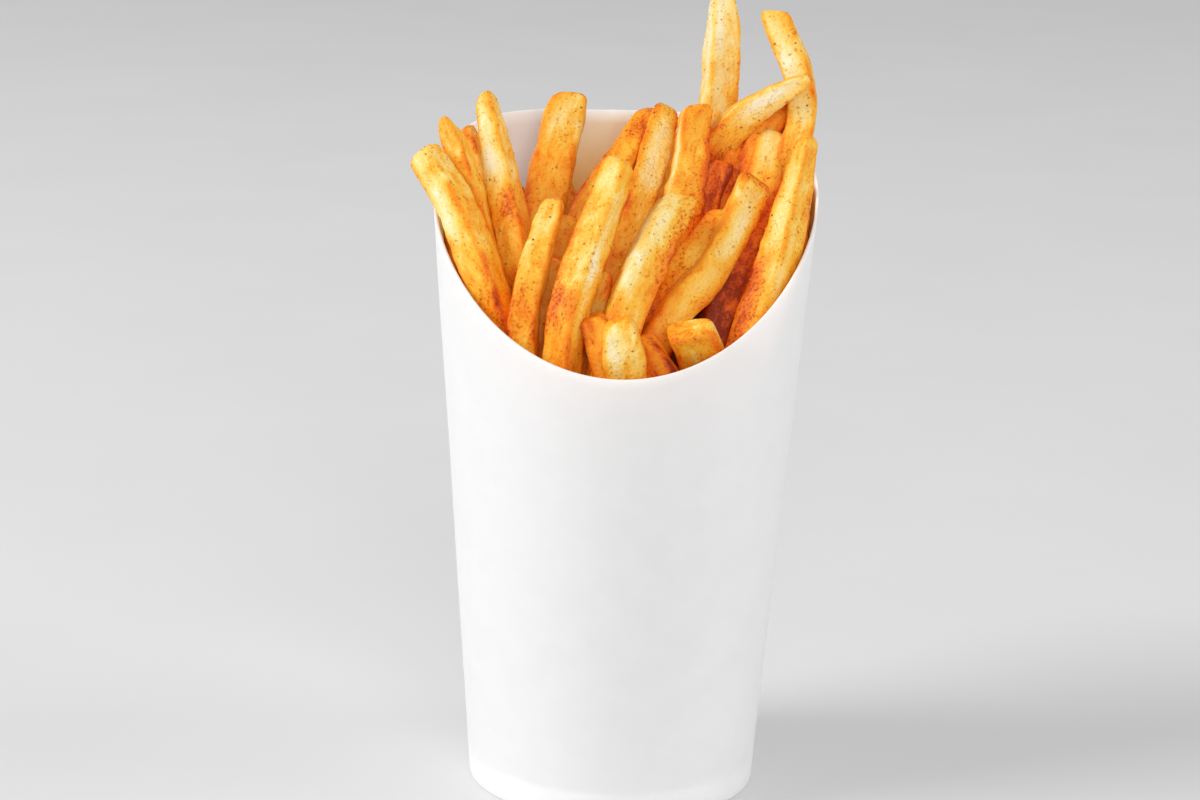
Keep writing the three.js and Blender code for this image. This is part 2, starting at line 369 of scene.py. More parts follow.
# The amber is partly oil and partly painted bounce light from the fries, strongest well below the mouth.
oil_and_bounce = OIL_AND_BOUNCE_AT_RIM + (1 - OIL_AND_BOUNCE_AT_RIM) * smooth(0, OIL_AND_BOUNCE_FULL, height_left)
oil_and_bounce *= smooth(OIL_AND_BOUNCE_SIDE + OIL_AND_BOUNCE_FADE, OIL_AND_BOUNCE_SIDE, np.abs(past_lap))
oil_and_bounce += OIL_AND_BOUNCE_ROUND * smooth(OIL_AND_BOUNCE_CLEAN, OIL_AND_BOUNCE_CLEAN + OIL_AND_BOUNCE_FADE, np.abs(past_lap))
oil_and_bounce[:first_inside] = 0
oil_and_bounce[first_cut:] = 0
lining = np.zeros_like(cut)
lining[first_inside:first_cut] = 1
board_values = {"cut": cut.ravel(), "lining": lining.ravel(), "oil_and_bounce": oil_and_bounce.ravel()}
cup_sheet = make_piece("cup_sheet", points, faces, paperboard, board_values)
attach(cup_sheet, "root")
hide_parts("cup_wall")

# ---------------------------------------------------------------------------------------------------------
# The fries: sticks of potato cut about 7.5 mm square, fried twice. The crust has drawn in on the flats and
# stands up along the edges. It stays pale where it is thin, and browns on edges, ends and where spice sticks.
# Some pale patches are painted highlights, and the fries deep in the heap and low down are given painted
# shade.
# Each row holds a fry's width across the side that faces out, its depth, the direction that side looks to in
# degrees from the front towards the right, the share of its size left at the tip, and points from foot to
# tip, in millimetres from the cup's axis and its foot.
FRIES = [
    # standing along the front of the mouth, from left to right
    [8.4, 6.8, -36, 0.82, [-17, -21, 84], [-25.7, -22.3, 108], [-35.2, -16.5, 131], [-44, -9.9, 144]],
    [6.6, 6.4, -10, 0.7, [-20, -26, 84], [-21, -27, 107], [-19, -23, 121], [-15, -16, 135]],
    [7.0, 6.4, 0, 0.9, [-19, -28, 84], [-15, -15, 122]],
    [7.6, 7.2, -32, 0.86, [-13, -29, 84], [-12, -30, 108], [-9, -25, 121], [-1, -13, 143]],
    [6.6, 6.6, 0, 0.9, [5, -30.5, 82], [-1.6, -31.5, 98], [-6.4, -29.5, 112.8]],
    [7.0, 7.0, 0, 0.95, [-11, -29, 84], [-5.2, -19.5, 119.6]],
    [8.8, 7.4, 10, 0.92, [-6, -31, 84], [0, -28, 110], [7, -17, 127], [11.6, -10, 134.8]],
    [9.2, 7.0, 0, 0.8, [3.6, -31, 82], [1.4, -33, 100], [-0.7, -33, 112.6]],
    [7.4, 7.0, 0, 0.9, [17, -27, 82], [10.4, -31, 98.4], [3.4, -28.4, 108]],
    [10.2, 8.6, 0, 0.96, [20, -20, 86], [17.2, -26.5, 103.4], [14.4, -31, 111.2]],
    [7.9, 7.2, 4, 0.96, [-2, -30, 86], [9.8, -22, 110], [19.6, -12, 121], [28.6, -1, 138]],
    [7.6, 7.2, -20, 0.8, [-6, -28, 88], [8.6, -17.6, 113], [22, -1, 130]],
    [9.6, 7.0, 0, 0.9, [12, -24, 84], [19.8, -17.6, 105], [28, -4.8, 125], [31, 1, 134]],
    [8.6, 7.4, 52, 0.48, [21, -22, 86], [28.2, -19.4, 108], [34, -12.7, 125], [39.1, -4.6, 148.4]],
    # the next row, leaning back and out
    [5.4, 5.6, -15, 0.4, [-18, -22, 86], [-29, -14, 121], [-36, -8, 142], [-40, -3, 150]],
    [7.4, 7.0, -20, 0.58, [-16, -24, 86], [-22, -15, 119], [-26.8, -6, 137], [-31.6, 3, 155]],
    [6.5, 6.5, 0, 0.8, [-18, -14, 88], [-13, 3, 128]],
    [7.2, 6.2, -20, 0.6, [-21, -17, 88], [-9.7, 4, 125], [-0.5, 16, 140], [5.3, 26, 149]],
    [7.6, 6.8, 5, 0.78, [-9, -17, 88], [0.6, 3, 122], [5.4, 15, 139], [8.4, 26, 149.4]],
    [8.6, 7.0, 12, 0.8, [-4, -24, 86], [9.8, -4, 122], [13.4, 4.5, 134.8], [15.1, 13.5, 151.8]],
    [7.0, 6.6, 0, 0.9, [1, -18, 88], [20.6, 8, 139.5]],
    [7.0, 6.6, 0, 0.9, [9, -12, 90], [20.5, 6, 130], [26, 14.5, 143.5]],
    [8.2, 7.4, -10, 0.85, [19, -11, 90], [28.4, 2, 126], [30.8, 8, 138], [32.6, 12.5, 145.6]],
    [8.0, 6.6, 0, 0.8, [17, -5, 92], [29, 12, 142], [34.6, 16, 153]],
    # one across the others to the right, and the tall ones behind
    [7.8, 7.2, 0, 0.38, [8, 8, 96], [16, 13, 134], [25.1, 12.5, 148.8], [39.5, 8, 159.4]],
    [8.0, 7.4, 15, 0.35, [11, 6, 94], [19, 20, 143], [20.7, 27, 164], [20, 32, 179]],
    [7.2, 7.0, -5, 0.9, [29.2, 1, 92], [34.6, 7, 132], [38.4, 13, 154], [32, 20, 172]],
    # along the back of the mouth, from left to right, and one at its right side
    [6.0, 5.6, -15, 0.75, [-22, -5, 90], [-30, 6, 124], [-36.3, 14, 145.4]],
    [7.0, 6.4, -130, 0.8, [-18, 10, 95], [-28, 18, 122], [-32, 19, 136]],
    [7.0, 7.0, -150, 0.8, [-14, -1, 92], [-23, 15, 118], [-27, 23, 131]],
    [10.2, 7.0, 0, 0.74, [-25, -5, 90], [-18.8, 15, 126], [-15.6, 26, 142], [-13.4, 32, 151]],
    [7.4, 6.6, 180, 0.8, [-9, 16, 96], [-13, 29, 120], [-16, 34, 131]],
    [7.4, 7.0, 180, 0.8, [-4, 0, 92], [-6, 18, 116], [-7, 27, 126]],
    [7.0, 7.0, 170, 0.85, [1, 4, 94], [9, 24, 124], [13, 33, 142]],
    [7.4, 7.0, 150, 0.8, [11, 13, 96], [20, 25, 124], [24, 29, 138]],
    [7.2, 6.4, 88, 0.8, [27, -3, 95], [36, -1, 118], [38.4, 2.8, 137]],
    # short ones in the middle, one at the left side, and ones lying across the heap behind the standing ones
    [7.2, 7.0, 60, 0.85, [-7, -6, 90], [-4, 2, 121]],
    [7.0, 6.8, -40, 0.85, [6, -10, 90], [5, 3, 120]],
    [7.0, 7.0, 20, 0.85, [14, 1, 92], [12, 14, 125]],
    [6.6, 6.4, -78, 0.85, [-24, -9, 92], [-34.2, -10, 112], [-36.8, -6, 131]],
    [7.0, 7.0, 200, 0.85, [15, 22, 101], [3, 30, 112], [-7, 35, 121]],
    [7.2, 7.0, 160, 0.85, [-20, 30, 106], [-6, 22, 108], [12, 14, 104]],
    [7.2, 7.0, 190, 0.85, [26, 22, 103], [9, 20, 109], [-12, 24, 107]],
]

# How brown each fry is, in the same order: 0 is pale yellow and 1 a deep orange. Fries 12 and 20, counting
# from 0, sit deep in the heap and are set darker as painted shade.
BROWNNESS_AND_SHADE = [
    *(0.45, 0.5, 0.75, 0.45, 0.65, 0.6, 0.25, 0.45, 0.95, 0.4, 0.55, 0.5, 1.1, 0.52),
    *(0.5, 0.42, 0.8, 0.6, 0.43, 0.55, 1.12, 0.8, 0.4, 0.7),
    *(0.4, -0.1, 0.46),
    *(0.7, 0.6, 0.5, 0.42, 0.65, 0.5, 0.6, 0.45, 0.85),
    *(0.8, 0.85, 0.75, 0.8, 0.7, 0.75, 0.85),
]
LOW_PAINTED_SHADE = 0.35  # how much browner they all are low down, where they lie closest together: painted shade and orange light thrown between them

# Pale patches, where the crust stayed thin, and partly painted highlights where light falls on a face: fry,
# share of the way up, side (0 is the one that faces out, 90 the one to its right), half length in
# millimetres, half width in degrees, and how pale.
PALE_AND_HIGHLIGHT_PATCHES = [
    (0, 0.64, -10, 8, 40, 1.1),
    (0, 0.8, -30, 6, 40, 0.6),
    (0, 0.97, -20, 4, 70, 0.5),
    (1, 0.82, -50, 13, 40, 0.7),
    (3, 0.93, 10, 6, 50, 1.0),
    (3, 0.75, 60, 12, 35, 0.8),
    (3, 0.5, 75, 12, 30, 0.7),
    (6, 0.75, -35, 8, 40, 0.4),
    (6, 0.5, -45, 12, 35, 1.2),
    (7, 0.86, -28, 9, 38, 1.5),
    (9, 0.9, 100, 6, 35, 0.8),
    (10, 0.84, 5, 9, 30, 1.1),
    (10, 0.5, 0, 12, 30, 0.8),
    (11, 0.7, 0, 7, 50, 0.4),
    (13, 0.8, -85, 12, 40, 1.0),
    (13, 0.6, -40, 12, 40, 0.9),
    (15, 0.93, -25, 7, 45, 1.1),
    (15, 0.75, -10, 7, 40, 0.8),
    (18, 0.78, -10, 12, 40, 0.9),
    (18, 0.55, 0, 8, 35, 0.7),
    (19, 0.8, -70, 16, 30, 1.3),
    (22, 0.85, -20, 7, 50, 0.9),
    (24, 0.8, -20, 9, 38, 1.4),
    (25, 0.7, -42, 11, 42, 1.2),
    (26, 0.86, -30, 11, 50, 0.9),
    (26, 0.68, 0, 8, 40, 0.9),
    (30, 0.78, -30, 7, 40, 0.5),
]

# Places where spice and oil have gathered, in the same way: the last value is how thick it lies. Those on
# fries 12 and 20 are painted shade, deep in the heap.
SPICE_AND_SHADE_PATCHES = [
    (0, 0.36, 20, 6, 60, 0.5),
    (1, 0.45, -20, 7, 60, 0.5),
    (3, 0.6, -25, 7, 45, 0.5),
    (3, 0.42, -10, 6, 50, 0.5),
    (6, 0.85, 40, 9, 35, 0.7),
    (6, 0.6, 50, 10, 30, 0.5),
    (9, 0.97, -20, 2, 60, 0.4),
    (10, 1.0, 0, 1.8, 180, 0.9),
    (11, 0.6, -5, 14, 80, 0.45),
    (11, 0.35, 0, 8, 80, 0.8),
    (12, 0.55, -20, 16, 80, 0.75),
    (12, 0.35, -20, 9, 80, 0.3),
    (13, 0.4, -100, 14, 45, 0.7),
    (13, 0.75, 30, 14, 35, 0.4),
    (15, 0.55, 25, 5, 50, 0.8),
    (17, 0.82, 20, 3.5, 40, 1.1),
    (18, 0.93, -15, 2.5, 60, 0.5),
    (19, 0.5, 60, 10, 60, 0.8),
    (20, 0.85, 20, 16, 90, 0.8),
    (21, 0.75, 30, 10, 70, 0.7),
    (24, 0.42, 10, 10, 60, 0.6),
]

# Ends that were cut clearly askew: how far they rise to the right, and towards the side that faces out.
END_SLANTS = {6: (0.45, 0.1), 10: (-0.1, -0.3), 19: (0.3, 0), 26: (-0.4, 0.1), 30: (0.2, 0)}

FOOT = 12  # hidden length below the rows' first points, in millimetres
SIDES = 34  # points round a fry
STEP = 0.82  # millimetres between rings of points
END_STEPS = (1, 0.78, 0.57, 0.38, 0.22, 0.1, 0.03, 0)  # rings of the rounded end, as shares of its length
CAP_SHARES = (0.8, 0.55, 0.28)  # rings of the cut end, as shares of its last ring
DEEP_STEP = 2.6  # the same below the level where other fries hide them, which rises towards the back
DEEP_LEVEL = 104
DEEP_SLOPE = 0.5
FOOT_STEP = 4
TAPER_START = 0.6
EDGE_RISE = 0.08  # millimetres that the edges stand up
FACE_SINK = 0.34  # and that the flats draw in, at most
LUMPS = ((9.0, 0.36), (3.4, 0.28), (1.6, 0.15))  # length and height of the crust's unevenness
LONG_WOBBLE_MM = 15  # how long the fries' wider and narrower stretches are
SHORT_WOBBLE_MM = 5
WALL_GAP = 0.5  # the fries keep this far from the board


def along_curve(points, share):
    """Points and directions of a curve through the given points, at shares of the way along its list."""
    points = np.asarray(points, float)
    spans = len(points) - 1
    start = np.minimum((share * spans).astype(int), spans - 1)
    w = (share * spans - start)[:, None]
    padded = np.vstack([2 * points[0] - points[1], points, 2 * points[-1] - points[-2]])
    a, b, c, d = (padded[start + i] for i in range(4))
    leave, arrive = (c - a) / 2, (d - b) / 2
    square, cube = 3 * (c - b) - 2 * leave - arrive, 2 * (b - c) + leave + arrive
    place = b + leave * w + square * w**2 + cube * w**3
    direction = leave + 2 * square * w + 3 * cube * w**2
    return place, direction / np.linalg.norm(direction, axis=1, keepdims=True)


def stick_section(squareness):
    """Points round a square with softened corners, one unit out from its middle, evenly spaced along it and
    closer at the corners, with how near each is to a corner."""
    turn = np.linspace(0, 2 * math.pi, 1441)
    sine, cosine = np.sin(turn), np.cos(turn)
    x = np.sign(sine) * np.abs(sine) ** squareness
    y = np.sign(cosine) * np.abs(cosine) ** squareness
    corner = smooth(0.5, 0.95, np.minimum(abs(x), abs(y)) / np.maximum(abs(x), abs(y)))
    length = np.hypot(np.diff(x), np.diff(y)) * (1 + 1.6 * (corner[1:] + corner[:-1]) / 2)
    run = np.concatenate([[0], np.cumsum(length)])
    wanted = (np.arange(SIDES) + 0.5) / SIDES * run[-1]
    return np.interp(wanted, run, x), np.interp(wanted, run, y), np.interp(wanted, run, corner)


def lumpy(points):
    """Height of the crust's unevenness at points, in millimetres."""
    height = np.zeros(len(points))
    for length, rise in LUMPS:
        height += rise * np.array([noise.noise(Vector(p) / length) for p in points])
    return height


def wobble(seed, at):
    """How much wider or narrower a stick is than it was cut, at distances along it in millimetres."""
    long = np.array([noise.noise((seed, 0, s / LONG_WOBBLE_MM)) for s in at])
    short = np.array([noise.noise((seed, 9, s / SHORT_WOBBLE_MM)) for s in at])
    return 0.07 * long + 0.05 * short


def fry(number):
    """Rings of points of one fry, its end's middle point, and its values for the crust."""
    wide, deep, facing, tip, *row = FRIES[number]
    draw = random.Random(number)
    squareness = draw.uniform(0.46, 0.58)
    twist = math.radians(draw.uniform(-9, 9))
    slant = (draw.uniform(-0.3, 0.3), draw.uniform(-0.3, 0.3))
    slant = END_SLANTS.get(number, slant)
    round_end = 1.3 + 4.0 * (1 - tip) + draw.uniform(0, 1.0)
    rounding = np.clip(0.3 + 1.1 * (1 - tip), 0.3, 0.8)  # how much of its size the end loses
    dish = draw.uniform(0.1, 0.7) * smooth(0.7, 0.85, tip)
    offset = 41.0 * number

    # Steps along the curve, wide ones where it is hidden and close ones where the end is rounded.
    dense = np.linspace(0, 1, 400)
    curve = along_curve(row, dense)[0]
    run = np.concatenate([[0], np.cumsum(np.linalg.norm(np.diff(curve, axis=0), axis=1))])
    length = run[-1]
    step = np.where(curve[1:, 2] < DEEP_LEVEL + DEEP_SLOPE * curve[1:, 1], DEEP_STEP, STEP)
    steps = np.concatenate([[0], np.cumsum(np.diff(run) / step)])
    shown = np.interp(np.arange(0, steps[-1]), steps, run)
    shown = shown[shown < length - round_end - STEP / 2]
    near_end = length - round_end * np.array(END_STEPS)
    at = np.concatenate([np.arange(-FOOT, -FOOT_STEP / 2, FOOT_STEP), shown, near_end])
    share = np.interp(at, run, dense)
    middle, direction = along_curve(row, share)
    middle += direction * np.minimum(at, 0)[:, None]

    looks = np.array([math.sin(math.radians(facing)), -math.cos(math.radians(facing)), 0])
    out = looks - direction * (direction @ looks)[:, None]
    out /= np.linalg.norm(out, axis=1, keepdims=True)
    across = np.cross(direction, out)
    turn = (twist * (share - 0.6))[:, None]
    out, across = out * np.cos(turn) - across * np.sin(turn), out * np.sin(turn) + across * np.cos(turn)

    past = np.clip((share - TAPER_START) / (1 - TAPER_START), 0, None)
    end_round = 1 - np.clip(length - at, 0, round_end) / round_end
    size = 1 - (1 - tip) * past**1.5
    size *= 1 - rounding * (1 - np.sqrt(1 - end_round**2))
    half_wide = wide / 2 * size * (1 + wobble(offset + 3, at))
    half_deep = deep / 2 * size * (1 + wobble(offset + 7, at))

    x, y, corner = stick_section(squareness)
    own_x, own_y = half_wide[:, None] * x, half_deep[:, None] * y
    own_z = np.broadcast_to(at[:, None], own_x.shape)
    flat_x, flat_y = own_x.ravel(), own_y.ravel()
    own = np.stack([flat_x + offset, flat_y, own_z.ravel()], axis=1)
    power = 2 / squareness - 1
    normal = np.stack([np.sign(x) * abs(x) ** power / wide, np.sign(y) * abs(y) ** power / deep], axis=1)
    normal /= np.linalg.norm(normal, axis=1, keepdims=True)
    sink = FACE_SINK * np.array([0.6 + 0.8 * noise.noise((offset, 13, s / 11)) for s in at])
    alive = smooth(-1, 3, length - at)
    height = lumpy(own).reshape(own_x.shape)
    height += alive[:, None] * (EDGE_RISE * corner - sink[:, None] * (1 - corner) * 0.8)
    own_x = own_x + height * normal[:, 0]
    own_y = own_y + height * normal[:, 1]
    lean = smooth(9, 0, length - at)[:, None] * (slant[0] * own_x + slant[1] * own_y)
    rings = middle[:, None, :] + across[:, None, :] * own_x[..., None] + out[:, None, :] * own_y[..., None]
    rings = rings + direction[:, None, :] * lean[..., None]

    # The cut end, with a rim and a middle that has drawn in.
    end_middle = rings[-1].mean(axis=0)
    caps = []
    cap_own = []
    for part in CAP_SHARES:
        flat = end_middle + (rings[-1] - end_middle) * part
        own_flat = own[-SIDES:] * (part, part, 1) + (offset * (1 - part), 0, 0)
        drawn = dish * (1 - part**2) - 0.3 * lumpy(own_flat)
        caps.append(flat - direction[-1] * drawn[:, None])
        cap_own.append(own_flat)
    end_middle = end_middle - direction[-1] * dish
    rings = np.concatenate([rings, caps])
    own = np.concatenate([own, *cap_own, [[offset, 0, length]]])

    side = np.degrees(np.arctan2(x, y))
    at = np.concatenate([at, [length] * len(caps)])
    share = np.concatenate([share, [1] * len(caps)])
    values = {"own_mm": own}
    # Pale patches, partly painted highlights, and spice patches, partly painted shade, are laid on as soft
    # spots.
    for label, patches in (("pale", PALE_AND_HIGHLIGHT_PATCHES), ("spice", SPICE_AND_SHADE_PATCHES)):
        painted = np.zeros((len(at), SIDES))
        for which, centre, facing_side, half_long, half_round, strength in patches:
            if which == number:
                turned = (side - facing_side + 180) % 360 - 180
                away = ((at - np.interp(centre, dense, run)) / half_long)[:, None] ** 2
                painted += strength * np.exp(-1.2 * (away + (turned / half_round) ** 2))
        values[label] = np.append(painted.ravel(), painted[-1].mean())
    ends = np.exp(-(length - at) / 2.5)
    edges = np.repeat([corner], len(at), axis=0) * (1 - 0.5 * ends[:, None])
    values["edge"] = np.append(edges.ravel(), 0)
    values["end"] = np.append(ends.repeat(SIDES), 1)
    # Browning of the fry, with painted shade added low down.
    browned_and_shaded = BROWNNESS_AND_SHADE[number] + LOW_PAINTED_SHADE * (1 - smooth(0.3, 0.8, share))
    values["brown"] = np.append(browned_and_shaded.repeat(SIDES), browned_and_shaded[-1])
    return rings, end_middle, values


CRUST_IOR = 1.46  # the film of frying oil
CRUST_GLOSS = 0.25  # of which most has soaked in
CRUST_GLOW = 0.2  # light goes a little way into the potato
CRUST_GLOW_DEPTH = 1.2 * MM
# The colours that a crust goes through as it browns, and where in browning each is reached.
CRUST_COLOURS = [
    (0.0, "FFF2CC"),
    (0.18, "FFDF88"),
    (0.36, "FFC03E"),
    (0.54, "FB9F20"),
    (0.71, "F07C10"),
    (0.87, "D65606"),
    (1.0, "8E2C04"),
]
SPICE_RED = "B03800"
SPECK_BROWN = "8C4A0C"
SPECK_RUST = "B0440C"
BROWNING_MM = 7.0  # size of the crust's lighter and darker areas
MOTTLE_MM = 2.3
GRAIN_MM = 0.6
CLUSTER_MM = 5.0  # how wide the places are where more spice sticks


def fried_potato():
    """Fried potato crust: starch that dried to a thin golden shell, slightly oily. It goes from cream where
    it is thin, through gold, to a deep fried orange, with fine specks of spice on it. Its values per point
    also bring in painted highlights and painted shade."""
    material, output = new_material("fried_potato_crust")

    def maths(operation, *values):
        """A sum of two or three values."""
        return put(material, "Math", dict(enumerate(values)), operation=operation).outputs[0]

    def spread(value, low, high, to_low=0.0, to_high=1.0):
        """A value between low and high as one between to_low and to_high."""
        limits = {"From Min": low, "From Max": high, "To Min": to_low, "To Max": to_high}
        return put(material, "MapRange", {"Value": value, **limits}).outputs[0]

    def cloud(size_mm, vector, detail=2.0, distortion=0.0):
        """Soft blotches of a size."""
        sockets = {"Vector": vector, "Scale": 1 / size_mm, "Detail": detail, "Distortion": distortion}
        return put(material, "TexNoise", sockets).outputs["Fac"]

    def blend(share, below, above):
        """One colour over another."""
        return put(material, "Mix", {0: share, 6: below, 7: above}, data_type="RGBA").outputs[2]

    own = put(material, "Attribute", attribute_name="own_mm").outputs["Vector"]
    # The browning and spice values also carry painted shade deep in the heap, and the pale value painted
    # highlights too.
    brown, edge, end, pale, spice = (
        put(material, "Attribute", attribute_name=label).outputs["Fac"]
        for label in ("brown", "edge", "end", "pale", "spice")
    )
    stretched = put(material, "VectorMath", {0: own, 1: (1, 1, 0.5)}, operation="MULTIPLY").outputs[0]
    large = cloud(BROWNING_MM, stretched, distortion=0.6)
    mottle = cloud(MOTTLE_MM, stretched, detail=4.0, distortion=0.8)
    grain = cloud(GRAIN_MM, own, detail=1.0)

    edge_share = maths("MULTIPLY", edge, spread(large, 0.35, 0.65, 0.3, 1.5))
    pale_share = maths("MULTIPLY", pale, spread(mottle, 0.36, 0.6, 0.5, 1.25))
    browning = maths("MULTIPLY_ADD", brown, 0.42, -0.64)
    for share, weight in (
        (edge_share, 0.2),
        (end, 0.1),
        (spice, 0.3),
        (pale_share, -0.3),
        (large, 0.7),
        (mottle, 0.72),
        (grain, 0.22),
    ):
        browning = maths("MULTIPLY_ADD", share, weight, browning)
    crust = put(material, "ValToRGB", {0: browning})
    stops = crust.color_ramp.elements
    while len(stops) < len(CRUST_COLOURS):
        stops.new(0.5)
    for stop, (reached, colour) in zip(stops, CRUST_COLOURS):
        stop.position = reached
        stop.color = linear(colour)

    # Spice lies as a reddish dust where it gathers, broken up by the mottle and the grain.
    dusted = maths("MULTIPLY_ADD", grain, 2.0, maths("MULTIPLY_ADD", spice, 0.5, mottle))
    dusted = spread(dusted, 1.78, 2.3, 0.0, 0.75)
    dusty = blend(dusted, crust.outputs[0], linear(SPICE_RED))

    # Specks with uneven outlines, one in some of the cells of a pattern, and more where spice has gathered.
    ragged = put(
        material, "VectorMath", {0: grain, 1: (0.5, 0.5, 0.5), 2: own}, operation="MULTIPLY_ADD"
    ).outputs[0]
    gathered = maths("MULTIPLY_ADD", spice, 0.8, spread(cloud(CLUSTER_MM, own), 0.5, 0.68))

    def specks(cell_mm, radius, chance, more):
        """Where specks lie: radius is in cells, and chance is the share of cells that have one."""
        cells = put(material, "TexVoronoi", {"Vector": ragged, "Scale": 1 / cell_mm}, feature="F1")
        lot = put(material, "SeparateXYZ", {0: cells.outputs["Color"]}).outputs[0]
        chosen = maths("LESS_THAN", lot, maths("MULTIPLY_ADD", gathered, more, chance))
        return maths("MULTIPLY", spread(cells.outputs["Distance"], radius, radius * 0.5), chosen)

    fine = specks(0.9, 0.28, 0.04, 0.28)
    coarse = specks(1.9, 0.2, 0.05, 0.4)
    rust = specks(1.25, 0.3, 0.06, 0.45)
    colour = blend(maths("MULTIPLY", rust, 0.5), dusty, linear(SPECK_RUST))
    colour = blend(maths("MULTIPLY", fine, 0.55), colour, linear(SPECK_BROWN))
    colour = blend(maths("MULTIPLY", coarse, 0.75), colour, linear(SPECK_BROWN))

    relief = maths("MULTIPLY_ADD", grain, 0.6, mottle)
    relief = maths("MULTIPLY_ADD", maths("ADD", fine, coarse), 0.06, relief)
    bump = put(material, "Bump", {"Height": relief, "Strength": 0.6, "Distance": 0.5 * MM}).outputs[0]
    shader = put(
        material,
        "BsdfPrincipled",
        {
            "Base Color": colour,
            "Roughness": spread(mottle, 0.3, 0.7, 0.34, 0.6),
            "IOR": CRUST_IOR,
            "Specular IOR Level": CRUST_GLOSS,
            "Normal": bump,
            "Subsurface Weight": CRUST_GLOW,
            "Subsurface Radius": (1.0, 0.5, 0.15),
            "Subsurface Scale": CRUST_GLOW_DEPTH,
        },
    )
    material.node_tree.links.new(shader.outputs[0], output.inputs["Surface"])
    return material


crust = fried_potato()
shells = []
fry_points = []
fry_faces = []
fry_values = {}
count = 0
inner_wall = BASE_RADIUS / MM - BOARD / MM - WALL_GAP
for number in range(len(FRIES)):
    rings, end_middle, values = fry(number)
    # A foot that would reach the wall is pressed in by it.
    allowed = inner_wall + FLARE * rings[..., 2]
    reach = np.hypot(rings[..., 0], rings[..., 1])
    inside_cup = rings[..., 2] < rim_height(np.arctan2(rings[..., 0], -rings[..., 1])) / MM
    pressed = np.where(inside_cup & (reach > allowed), allowed / reach, 1)
    rings[..., :2] *= pressed[..., None]
    shells.append((rings, values))
    points, faces = loft(rings, first_point=rings[0].mean(axis=0), last_point=end_middle)
    fry_points.append(points)
    fry_faces += [[corner + count for corner in face] for face in faces]
    count += len(points)
    for label, found in values.items():
        # The foot's middle point comes before the tip's.
        ordered = np.concatenate([found[:-1], found[:1], found[-1:]])
        fry_values.setdefault(label, []).append(ordered)
fry_points = np.concatenate(fry_points) * MM + (cup_x, cup_y, 0)
fry_values = {label: np.concatenate(found) for label, found in fry_values.items()}
french_fries = make_piece("french_fries", fry_points, fry_faces, crust, fry_values)
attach(french_fries, "root")
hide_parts("fries")

# ---------------------------------------------------------------------------------------------------------
# Seasoning: paprika, ground pepper and crumbs of crust, tossed with the fries while they were hot and oily.
# The grains stick flat to the crust, singly and in clusters, and most of all along the edges.
GRAIN_TRIES = 98  # to every GRAIN_RINGS rings of a fry, of which the likeliest places keep theirs
GRAIN_RINGS = 40
GRAIN_HALF_LENGTH = (0.11, 0.32)  # in millimetres
GRAIN_CLUMP_MM = 4
BALL_POINTS = 12
GRAIN_COLOURS = ["8A4E14", "B47A1E", "BC4E10", "DC861E", "F4B248"]  # pepper, herb, paprika, crumbs


def ground_seasoning():
    """Dry ground spice and crumbs: matt grains, each of one of a few colours."""
    material, output = new_material("ground_seasoning")
    kind = put(material, "Attribute", attribute_name="kind").outputs["Fac"]
    colours = put(material, "ValToRGB", {0: kind})
    colours.color_ramp.interpolation = "CONSTANT"
    stops = colours.color_ramp.elements
    while len(stops) < len(GRAIN_COLOURS):
        stops.new(0.5)
    for index, (stop, colour) in enumerate(zip(stops, GRAIN_COLOURS)):
        stop.position = index / len(GRAIN_COLOURS)
        stop.color = linear(colour)
    shader = put(
        material,
        "BsdfPrincipled",
        {"Base Color": colours.outputs[0], "Roughness": 0.7, "Specular IOR Level": CRUST_GLOSS},
    )
    material.node_tree.links.new(shader.outputs[0], output.inputs["Surface"])
    return material


# A grain starts as an icosahedron. Its twelve points are set in or out at random, and it is flattened.
golden = (1 + math.sqrt(5)) / 2
ball = np.array([(0, a, b * golden) for a in (-1, 1) for b in (-1, 1)], float)
ball = np.concatenate([ball, np.roll(ball, 1, axis=1), np.roll(ball, 2, axis=1)]) / math.hypot(1, golden)
ball_faces = []
for a in range(BALL_POINTS):
    for b in range(a + 1, BALL_POINTS):
        for c in range(b + 1, BALL_POINTS):
            corners = ball[[a, b, c]]
            if max(np.linalg.norm(corners - np.roll(corners, 1, axis=0), axis=1)) < 1.1:
                outward = np.cross(corners[1] - corners[0], corners[2] - corners[0]) @ corners[0] > 0
                ball_faces.append((a, b, c) if outward else (a, c, b))

